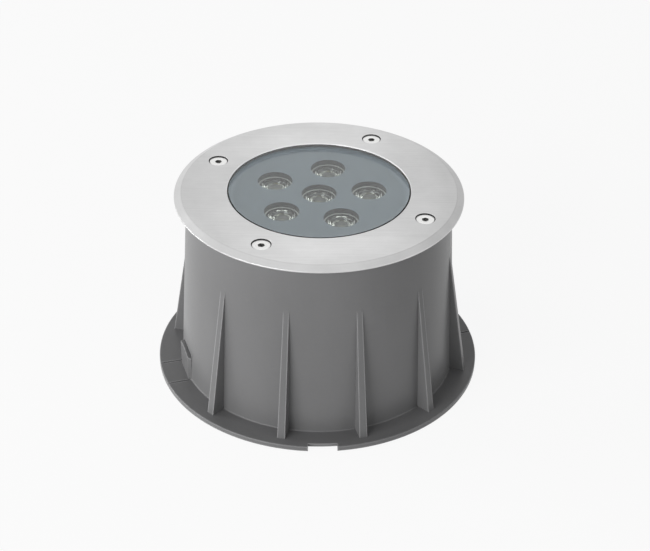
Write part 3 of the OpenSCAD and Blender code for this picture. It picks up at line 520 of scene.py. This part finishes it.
def led_ceramic():
    """White fired ceramic with a matt bloom."""
    f = Finish("led_ceramic")
    bloom = f.noise(1200, 3)
    return f.surface(base_color=f.shade(CERAMIC_WHITE, 1 + bloom * 0.05), roughness=0.45 + bloom * 0.08)


def led_phosphor():
    """Yellow phosphor, slightly mottled."""
    f = Finish("led_phosphor")
    mottle = f.noise(3200, 3)
    return f.surface(base_color=f.shade(PHOSPHOR_YELLOW, 1 + mottle * 0.08), roughness=0.6 + mottle * 0.08)


def led_silicone():
    """Clear soft dome."""
    f = Finish("led_silicone")
    haze = f.noise(900, 2).ramp(0.0, 1.0)
    return f.surface(base_color=SILICONE_TINT, roughness=haze * 0.03, ior=1.41, transmission=1.0)


def board_finish():
    """White solder mask on the metal board."""
    f = Finish("board_finish")
    broad = f.noise(40, 3)
    weave = f.noise(900, 2)
    return f.surface(base_color=f.shade(BOARD_WHITE, 1 + broad * 0.04 + weave * 0.02),
                     roughness=0.38 + broad * 0.05, normal=f.bump(weave, 0.01 * MM, 0.4))


def dress(names, material):
    """Gives solids a material in place of the plain one."""
    for name in names:
        slots = nodes[name].data.materials
        slots.clear()
        slots.append(material)


def dress_solids():
    """Finishes of all the solids that stay as they are."""
    dress(["sleeve"], moulded_sleeve())
    dress(["cover_ring"], brushed_ring())
    dress(["mask_plate"], painted_mask())
    dress(["housing"], cast_housing())
    dress(["glass_gasket", "lead_grommet", "gland_o_ring", "gland_bush", "plug_o_ring"], black_rubber())
    dress(["carrier_plate"], plain_metal("milled_aluminium", MILLED_ALUMINIUM, 0.35))
    dress(["carrier_screws", "board_screws", "driver_screws"], plain_metal("zinc_plate", ZINC_PLATE, 0.3))
    dress(["terminal_screws"], plain_metal("plain_brass", BRASS, 0.32))
    dress(["gland_body", "gland_locknut", "gland_nut", "blanking_plug"],
          moulded_small("black_nylon", NYLON_BLACK, 0.42))
    dress(["driver_case", "terminal_block"], moulded_small("pale_case", CASE_WHITE))
    dress(["driver_potting"], moulded_small("dark_potting", POTTING_BLACK, 0.5))
    dress(["thermal_pad"], moulded_small("heat_pad", PAD_BLUE, 0.7))
    dress(["led_leads", "input_leads"], moulded_small("lead_insulation", LEAD_RED, 0.4))
    dress(["led_board"], board_finish())
    dress(HOLDERS, holder_finish())


# Modelling by hand

# Least share of a face's normal along Z where the face counts as level
LEVEL = 0.9
SHARP_ANGLE = 30


def start():
    """Clears the selection, so that an operator acts on the new piece alone."""
    bpy.ops.object.select_all(action="DESELECT")


def settle(piece):
    """Puts a piece's place into its mesh and its object at the origin."""
    bpy.ops.object.transform_apply(location=True, rotation=True, scale=True)
    return piece


def pick(piece, kind, test):
    """Goes into edit mode with the faces or edges selected that pass a test."""
    mesh = piece.data
    for vertex in mesh.vertices:
        vertex.select = False
    for edge in mesh.edges:
        edge.select = kind == "EDGE" and test(*(mesh.vertices[i].co for i in edge.vertices))
    for face in mesh.polygons:
        face.select = kind == "FACE" and test(face.center, face.normal)
    bpy.context.tool_settings.mesh_select_mode = (False, kind == "EDGE", kind == "FACE")
    bpy.context.view_layer.objects.active = piece
    bpy.ops.object.mode_set(mode="EDIT")


def faces_up(centre, normal):
    """True of a level face that looks up."""
    return normal.z > LEVEL


def faces_down(centre, normal):
    """True of a level face that looks down."""
    return normal.z < -LEVEL


def draw_out(height, factor=1.0, level=0.0):
    """Extrudes what is selected straight up or down, then widens it round the upright axis."""
    move = {"value": (0, 0, height), "orient_type": "GLOBAL"}
    bpy.ops.mesh.extrude_region_move(TRANSFORM_OT_translate=move)
    bpy.ops.transform.resize(value=(factor, factor, 1), center_override=(0, 0, level))


def close_up(piece, bend=SHARP_ANGLE):
    """Turns the faces outwards, leaves edit mode and smooths all but the sharp edges."""
    bpy.ops.mesh.select_all(action="SELECT")
    bpy.ops.mesh.normals_make_consistent(inside=False)
    bpy.ops.object.mode_set(mode="OBJECT")
    settle(piece)
    bpy.ops.object.shade_smooth_by_angle(angle=math.radians(bend))
    return piece


def turned(name, profile, steps, bend=SHARP_ANGLE):
    """A turned piece: a filled circle is drawn out through the radii and heights of a profile."""
    start()
    radius, height = profile[0]
    bpy.ops.mesh.primitive_circle_add(vertices=steps, radius=radius, fill_type="NGON",
                                      location=(0, 0, height))
    piece = bpy.context.object
    piece.name = name
    bpy.ops.object.mode_set(mode="EDIT")
    bpy.ops.mesh.select_all(action="SELECT")
    for wide, high in profile[1:]:
        draw_out(high - height, wide / radius, high)
        radius, height = wide, high
    return close_up(piece, bend)


def placed(piece, name, spot, turn=0.0):
    """A copy of a piece, with its own mesh, on another upright axis."""
    start()
    piece.select_set(True)
    bpy.context.view_layer.objects.active = piece
    bpy.ops.object.duplicate()
    twin = bpy.context.object
    twin.name = name
    twin.location = (spot.x, spot.y, 0)
    twin.rotation_euler = (0, 0, turn)
    return settle(twin)


def finish_piece(piece, material, body, node):
    """Dresses a new piece, ties it to the body and hides the solid that it stands for."""
    if material is not None:
        piece.data.materials.clear()
        piece.data.materials.append(material)
    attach(piece, body)
    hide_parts(node)


def scrap(*pieces):
    """Removes pieces that were only patterns or tools for others."""
    for piece in pieces:
        bpy.data.objects.remove(piece)


def in_mm(profile):
    """A profile written in millimetres, in metres."""
    return [(radius * MM, height * MM) for radius, height in profile]


def arc_points(centre_r, centre_z, size, first, last, count):
    """Points of an arc in a profile, from one angle to another."""
    angles = [math.radians(first + (last - first) * i / count) for i in range(count + 1)]
    return [(centre_r + size * math.cos(a), centre_z + size * math.sin(a)) for a in angles]


def corner(centre_r, centre_z, size, first, last):
    """A small rounded corner of a profile."""
    return arc_points(centre_r, centre_z, size, first, last, 4)


# The glass, its sizes in millimetres

GLASS_FACE_R = 56.3
GLASS_STEP_Z = 120.2
GLASS_ROUND = 0.35
GLASS_FOOT_BORDER = 12
GLASS_FACE_BORDER = 8


def model_glass():
    """The stepped glass, its edges ground round."""
    foot, top, edge = foot_of("glass") / MM, top_of("glass") / MM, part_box("glass")[1].x / MM
    size = GLASS_ROUND
    profile = [(edge - GLASS_FOOT_BORDER, foot)] + corner(edge - size, foot + size, size, 270, 360)
    profile += corner(edge - size, GLASS_STEP_Z - size, size, 0, 90)
    profile += corner(GLASS_FACE_R + size, GLASS_STEP_Z + size, size, 270, 180)
    profile += corner(GLASS_FACE_R - size, top - size, size, 0, 90)
    profile.append((GLASS_FACE_R - GLASS_FACE_BORDER, top))
    glass = turned("cover_glass", in_mm(profile), steps=240)
    finish_piece(glass, clear_glass(), "cover", "glass")


# The cover screws, their sizes in millimetres

SCREW_KEY = 3.9
SCREW_KEY_DEPTH = 2.6
KEY_FLARE = 0.18
KEY_FLARE_FACTOR = 1.22
DRILL_POINT = 0.7
DRILL_POINT_FACTOR = 0.04
TIP_R = 1.2
TIP_CHAMFER = 0.3
THREAD_R = 2.95
THREAD_ROOT = 2.5
THREAD_PITCH = 1.0
THREAD_CREST_START = 0.42
THREAD_CREST_END = 0.52
THREAD_ROOT_START = 0.9
THREAD_RUN_OUT = 0.6
NECK_STEP = 0.15
NECK_H = 0.5
HEAD_LAND = 0.15
HEAD_ROUND = 0.12
HEAD_SOFT = 0.03
HEAD_ROUND_FOOT = 0.18
HEAD_ROUND_TOP = 0.05
HEAD_DISH_START = 0.62
HEAD_DISH_END = 0.6
FIRST_KEY_TURN = 17
KEY_TURN_STEP = 41


def model_key_cutter(top):
    """A hexagon bar with a drill point at its foot and a flared mouth."""
    start()
    depth = SCREW_KEY_DEPTH - KEY_FLARE
    bpy.ops.mesh.primitive_cylinder_add(vertices=6, radius=SCREW_KEY / math.sqrt(3) * MM, depth=depth * MM,
                                        location=(0, 0, top - (KEY_FLARE + depth / 2) * MM))
    cutter = settle(bpy.context.object)
    pick(cutter, "FACE", faces_up)
    draw_out(2 * KEY_FLARE * MM, KEY_FLARE_FACTOR, top)
    bpy.ops.object.mode_set(mode="OBJECT")
    pick(cutter, "FACE", faces_down)
    draw_out(-DRILL_POINT * MM, DRILL_POINT_FACTOR, top)
    return close_up(cutter)


def screw_profile(tip, top, head):
    """Half a section of a screw: chamfered tip, ridges of the thread, neck, cone and dished head."""
    seat = top - HEAD_LAND - (head - THREAD_R)
    profile = [(TIP_R, tip), (THREAD_ROOT - TIP_CHAMFER, tip), (THREAD_ROOT, tip + TIP_CHAMFER)]
    ridge = tip + THREAD_RUN_OUT
    while ridge + THREAD_PITCH < seat - THREAD_RUN_OUT:
        profile += [(THREAD_R, ridge + THREAD_CREST_START), (THREAD_R, ridge + THREAD_CREST_END),
                    (THREAD_ROOT, ridge + THREAD_ROOT_START), (THREAD_ROOT, ridge + THREAD_PITCH)]
        ridge += THREAD_PITCH
    profile += [(THREAD_R - NECK_STEP, seat - NECK_H), (THREAD_R, seat)]
    profile += [(head - HEAD_SOFT, top - HEAD_ROUND_FOOT), (head, top - HEAD_ROUND),
                (head - HEAD_SOFT, top - HEAD_ROUND_TOP), (head - HEAD_ROUND, top)]
    profile += [(head * HEAD_DISH_START, top), (head * HEAD_DISH_END, top - HEAD_SOFT)]
    return profile


def model_cover_screws():
    """Countersunk screws with a turned head, a hexagon socket and a threaded shank."""
    first = RING_SCREWS[0]
    profile = screw_profile(foot_of(first) / MM, top_of(first) / MM, half_width(first) / MM)
    blank = turned("screw_blank", in_mm(profile), steps=64)
    cutter = model_key_cutter(top_of(first))
    key = blank.modifiers.new("key", "BOOLEAN")
    key.operation = "DIFFERENCE"
    key.solver = "EXACT"
    key.object = cutter
    bpy.context.view_layer.objects.active = blank
    bpy.ops.object.modifier_apply(modifier=key.name)
    for k, name in enumerate(RING_SCREWS):
        spot = middle(name)
        turn = math.radians(FIRST_KEY_TURN + KEY_TURN_STEP * k)
        screw = placed(blank, "cover_screw_%d" % (k + 1), spot, turn)
        steel = turned_steel(tuple(spot), name + "_steel")
        finish_piece(screw, steel, "screw_%d" % (k + 1), name)
    scrap(blank, cutter)


# The lenses, their sizes in millimetres

LENS_H = 11.0
LENS_FLANGE = 1.4
LENS_FOOT_R = 4.2
LENS_BODY_R = 8.8
LENS_CURVE = 0.62
LENS_SIDE_STEPS = 16
LENS_ROUND = 0.8
LENS_EDGE_BREAK = 0.1
WELL_R = 5.7
WELL_DEPTH = 1.2
WELL_LIP = 0.3
DOME_H = 1.5
HOLLOW_R = 2.8
HOLLOW_DEPTH = 4.2
HOLLOW_DOME = 0.8
LENS_WAVE = 0.1
LENS_WAVE_PITCH = 1.9


def cap_radius(half, height):
    """Radius of the sphere that a cap of a given half width and height is cut from."""
    return (half ** 2 + height ** 2) / (2 * height)


def lens_hollow(foot):
    """The domed hollow over the light source, from its middle out to the lens's foot."""
    size = cap_radius(HOLLOW_R, HOLLOW_DOME)
    half = math.degrees(math.asin(HOLLOW_R / size))
    points = arc_points(0, foot + HOLLOW_DEPTH - HOLLOW_DOME + size, size, 271, 270 + half, 8)
    return points + [(HOLLOW_R, foot + LENS_EDGE_BREAK), (HOLLOW_R + LENS_EDGE_BREAK, foot),
                     (LENS_FOOT_R - LENS_EDGE_BREAK, foot)]


def lens_side(foot):
    """The curved side that turns the light upwards."""
    points = []
    for i in range(LENS_SIDE_STEPS + 1):
        share = i / LENS_SIDE_STEPS
        radius = LENS_FOOT_R + (LENS_BODY_R - LENS_FOOT_R) * share ** LENS_CURVE
        points.append((radius, foot + (LENS_H - LENS_FLANGE) * share))
    return points


def lens_well(top):
    """The dome in the well of the face, with its shallow rings, from its edge to its middle."""
    size = cap_radius(WELL_R, DOME_H)
    half = math.degrees(math.asin(WELL_R / size))
    points = []
    for radius, height in arc_points(0, top - WELL_DEPTH + DOME_H - size, size, 90 - half, 89, 24):
        wave = LENS_WAVE * math.sin(math.pi * radius / LENS_WAVE_PITCH) ** 2
        points.append((radius, height - wave))
    return points


def model_lenses():
    """Collimator lenses: a hollow, a curved side, a flange and a domed well in the face."""
    foot = foot_of(LENSES[0]) / MM
    top = foot + LENS_H
    edge = half_width(LENSES[0]) / MM
    flange = top - LENS_FLANGE
    profile = lens_hollow(foot) + lens_side(foot)
    profile += [(edge - LENS_EDGE_BREAK, flange), (edge, flange + LENS_EDGE_BREAK)]
    profile += corner(edge - LENS_ROUND, top - LENS_ROUND, LENS_ROUND, 0, 90)
    profile += corner(WELL_R + WELL_DEPTH / 2 + WELL_LIP, top - WELL_LIP, WELL_LIP, 90, 150)
    profile += lens_well(top)
    blank = turned("lens_blank", in_mm(profile), steps=72, bend=40)
    material = lens_plastic()
    for k, name in enumerate(LENSES):
        lens = placed(blank, "lens_optic_%d" % (k + 1), middle(name))
        finish_piece(lens, material, "luminaire", name)
    scrap(blank)


# The light sources

LED_BASE = 0.9 * MM
LED_CORNER = 0.35 * MM
LED_RIM = 0.22 * MM
LED_SINK = 0.15 * MM
PHOSPHOR_INSET = 0.45 * MM
PHOSPHOR_RISE = 0.13 * MM
PHOSPHOR_REACH = 1 / 8
LED_DOME_FOOT = 0.9


def model_led_base(side, foot):
    """A ceramic base with a sunk pad and a raised square of phosphor."""
    start()
    bpy.ops.mesh.primitive_cube_add(size=1, scale=(side, side, LED_BASE),
                                    location=(0, 0, foot + LED_BASE / 2))
    base = settle(bpy.context.object)
    base.name = "led_blank"
    pick(base, "EDGE", lambda a, b: abs(a.z - b.z) > LED_BASE / 2)
    bpy.ops.mesh.bevel(offset=LED_CORNER, segments=4, affect="EDGES")
    bpy.ops.object.mode_set(mode="OBJECT")
    pick(base, "FACE", faces_up)
    bpy.ops.mesh.inset(thickness=LED_RIM, depth=0)
    draw_out(-LED_SINK)
    bpy.ops.mesh.inset(thickness=PHOSPHOR_INSET, depth=0)
    draw_out(PHOSPHOR_RISE)
    close_up(base)
    base.data.materials.append(led_ceramic())
    base.data.materials.append(led_phosphor())
    for face in base.data.polygons:
        reach = max(abs(face.center.x), abs(face.center.y))
        face.material_index = int(faces_up(face.center, face.normal) and reach < side * PHOSPHOR_REACH)
    return base


def model_led_dome(foot, top):
    """A half ball of silicone that stands in the sunk pad."""
    radius = top - foot - LED_BASE
    pad = foot + LED_BASE - LED_SINK
    profile = [(radius * LED_DOME_FOOT, pad), (radius, pad + LED_SINK)]
    profile += arc_points(0, foot + LED_BASE, radius, 4, 88, 14)
    return turned("dome_blank", profile, steps=48)


def model_leds():
    """Light sources: a base and a clear dome over it, under each lens."""
    first = LEDS[0]
    base = model_led_base(2 * half_width(first), foot_of(first))
    dome = model_led_dome(foot_of(first), top_of(first))
    silicone = led_silicone()
    for k, name in enumerate(LEDS):
        spot = middle(name)
        low_part = placed(base, "led_base_%d" % (k + 1), spot)
        finish_piece(low_part, None, "luminaire", name)
        high_part = placed(dome, "led_dome_%d" % (k + 1), spot)
        finish_piece(high_part, silicone, "luminaire", name)
    scrap(base, dome)


# Floor, sky and lamps

FLOOR_SIZE = 60
FLOOR_SHARE = 0.90
SKY_LIGHT = 0.25
SKY_MIRRORED = 0.8

# Each softbox has a name, a place and a width in metres, and a power in watts
SOFTBOXES = [
    ("key_softbox", (-1.65, -1.72, 0.6), 2.0, 56.0),
    ("top_softbox", (0.2, 0.5, 2.2), 1.4, 2.0),
    ("right_softbox", (1.9, -0.9, 0.6), 1.2, 4.5),
    ("left_softbox", (-2.0, 0.45, 0.45), 1.0, 19.0),
]


def add_floor():
    """A pale floor that stays white in the picture and keeps a soft shadow."""
    start()
    bpy.ops.mesh.primitive_plane_add(size=FLOOR_SIZE, location=(0, 0, 0))
    floor = bpy.context.object
    floor.name = "floor"
    f = Finish("pale_floor")
    f.surface(base_color=FLOOR_WHITE, roughness=0.8, specular=0.0)
    lit = Signal(f, f.shader.outputs[0])
    white = f.node("ShaderNodeEmission", values={"Color": WHITE, "Strength": 1.0})
    f.show(f.seen() * FLOOR_SHARE, lit, white, "Material Output")
    floor.data.materials.append(f.material)


def light_sky():
    """White all round in the picture and in reflections, softer as a light."""
    world = bpy.data.worlds.new("studio")
    world.use_nodes = True
    bpy.context.scene.world = world
    g = Graph(world.node_tree)
    soft = g.node("ShaderNodeBackground", values={"Color": WHITE, "Strength": SKY_LIGHT})
    white = g.node("ShaderNodeBackground", values={"Color": WHITE, "Strength": 1.0})
    g.show(g.seen(SKY_MIRRORED), soft, white, "World Output")


def add_lamps():
    """Square softboxes, all turned to the middle of the light."""
    aim = Vector((0, 0, RING_TOP / 2))
    for name, place, width, power in SOFTBOXES:
        data = bpy.data.lights.new(name, "AREA")
        data.shape = "SQUARE"
        data.size = width
        data.energy = power
        lamp = bpy.data.objects.new(name, data)
        bpy.context.scene.collection.objects.link(lamp)
        lamp.location = place
        lamp.rotation_euler = (aim - lamp.location).to_track_quat("-Z", "Y").to_euler()


dress_solids()
model_glass()
model_cover_screws()
model_lenses()
model_leds()
add_floor()
light_sky()
add_lamps()
place_camera()
bpy.context.scene.view_settings.view_transform = "Standard"
